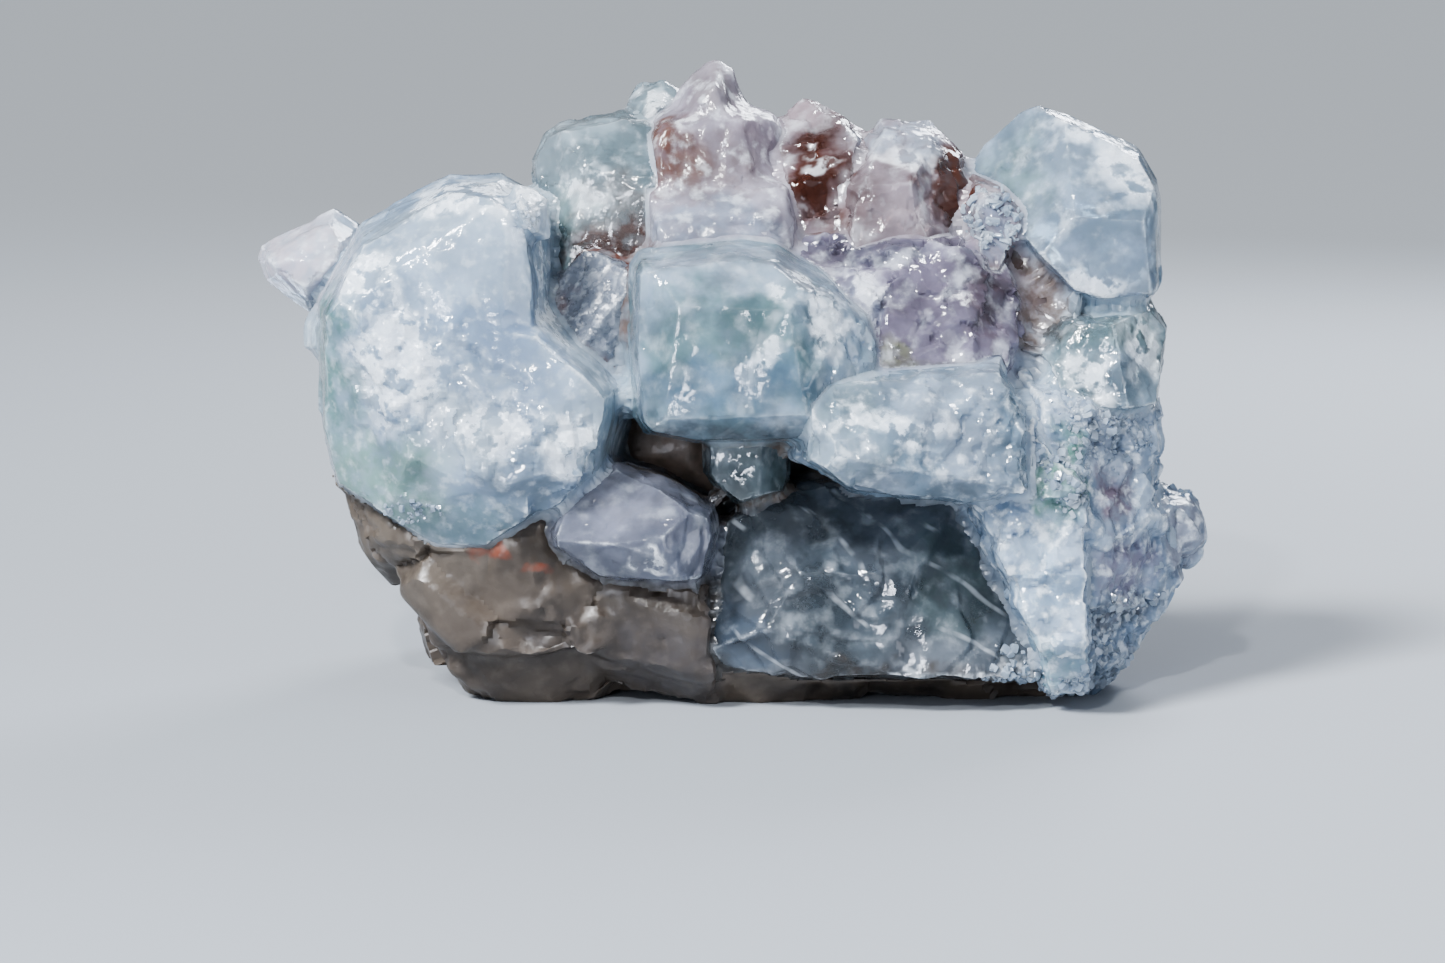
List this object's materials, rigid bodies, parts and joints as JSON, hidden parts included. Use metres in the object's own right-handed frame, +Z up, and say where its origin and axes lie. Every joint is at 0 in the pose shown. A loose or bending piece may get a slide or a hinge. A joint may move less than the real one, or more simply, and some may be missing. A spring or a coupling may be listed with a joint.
{
  "type": "apophyllite with heulandite",
  "caption": "Natural cluster of pale blocky apophyllite crystals with pinkish-brown heulandite on a lump of matrix, resting on its flat base.",
  "frame": {"origin": "middle of the bounding box's bottom, on the surface that the specimen rests on", "axes": "+X to the viewer's right along the longest side, +Y away from the viewer through the specimen, +Z up"},
  "size_m": [0.1046, 0.064, 0.068],
  "materials": {
    "apophyllite": "milky to clear crystal, pearly cleavage and frosted growth faces",
    "heulandite": "glossy pinkish-brown crystal with pearly faces",
    "matrix": "rough broken mineral, brownish grey"
  },
  "bodies": {
    "root": {"apophyllite_ledge": "apophyllite", "apophyllite_centre": "apophyllite", "apophyllite_left": "apophyllite", "heulandite_peak": "heulandite", "apophyllite_right_top": "apophyllite", "apophyllite_druse": "apophyllite", "heulandite_crown": "heulandite", "apophyllite_upper_left": "apophyllite", "apophyllite_lower_left": "apophyllite", "apophyllite_right_lower": "apophyllite", "apophyllite_lower_centre": "apophyllite", "heulandite_centre": "heulandite", "apophyllite_notch": "apophyllite", "apophyllite_hanging": "apophyllite", "matrix": "matrix"}
  },
  "joints": []
}
